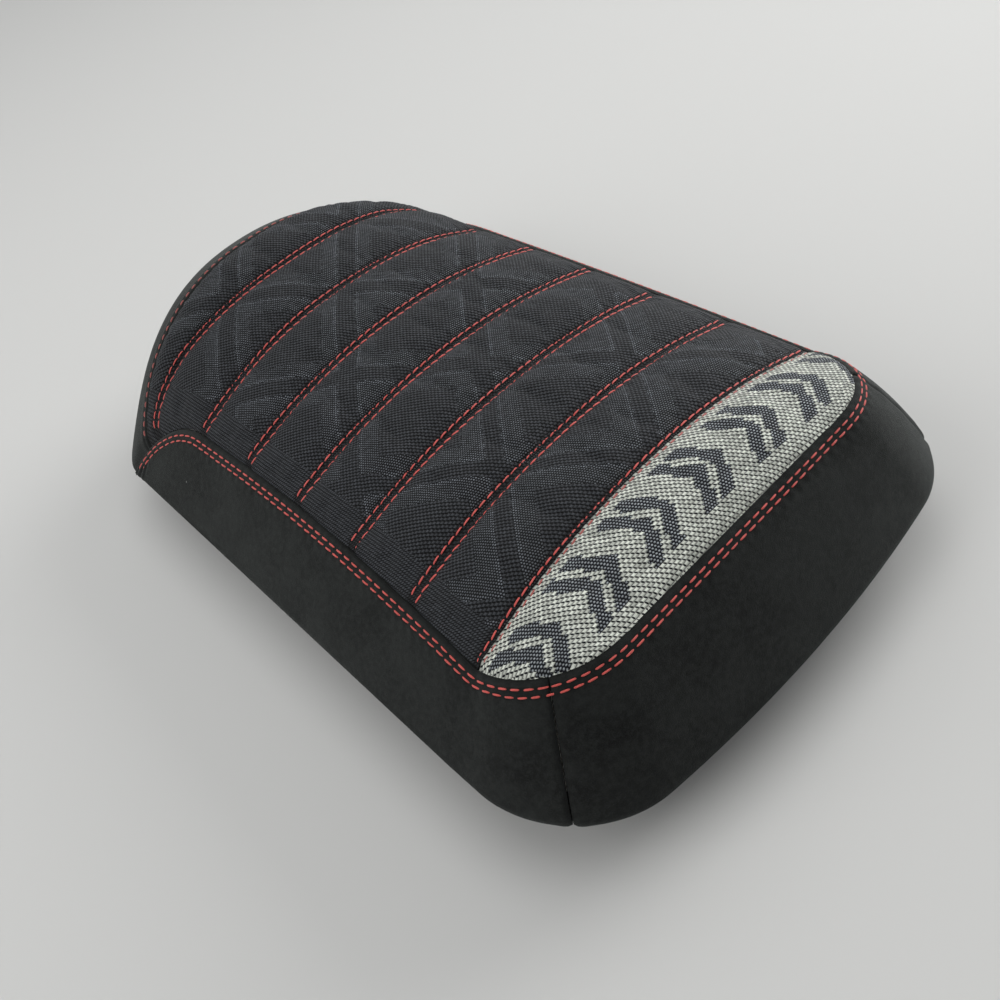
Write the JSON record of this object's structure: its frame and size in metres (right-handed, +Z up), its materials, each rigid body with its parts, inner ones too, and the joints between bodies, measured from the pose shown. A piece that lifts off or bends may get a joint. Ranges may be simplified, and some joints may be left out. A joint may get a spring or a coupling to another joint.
{
  "type": "motorcycle solo seat",
  "caption": "Low solo motorcycle saddle with cross channels on the top, a pale woven band at the tail, suede sides and a studded base pan.",
  "frame": {"origin": "centre of the seat's footprint, at the level of the stud tips", "axes": "+X to the rider's right, +Y towards the nose of the seat, +Z up"},
  "size_m": [0.242, 0.3772, 0.0879],
  "materials": {
    "woven_top": "matt woven jacquard, charcoal on black",
    "woven_band": "coarse open weave, silver grey on black",
    "suede": "matt microfibre suede",
    "sewing_foam": "open cell sheet foam",
    "foam": "moulded polyurethane foam",
    "pan_plastic": "fine grained black moulding",
    "zinc_steel": "bright zinc plate",
    "rivet_aluminium": "plain",
    "buffer_rubber": "matt black",
    "staple_steel": "bright wire"
  },
  "bodies": {
    "root": {"top_panel": "woven_top", "accent_band": "woven_band", "side_panel_left": "suede", "side_panel_right": "suede", "tail_panel": "suede", "nose_panel": "suede", "sewing_foam": "sewing_foam", "foam_core": "foam", "base_pan": "pan_plastic", "strap_front": "zinc_steel", "strap_rear": "zinc_steel", "mounting_studs": "zinc_steel", "strap_rivets": "rivet_aluminium", "buffer_front_left": "buffer_rubber", "buffer_front_right": "buffer_rubber", "buffer_rear_left": "buffer_rubber", "buffer_rear_right": "buffer_rubber", "grommet_left": "buffer_rubber", "grommet_right": "buffer_rubber", "cover_staples": "staple_steel"}
  },
  "joints": []
}
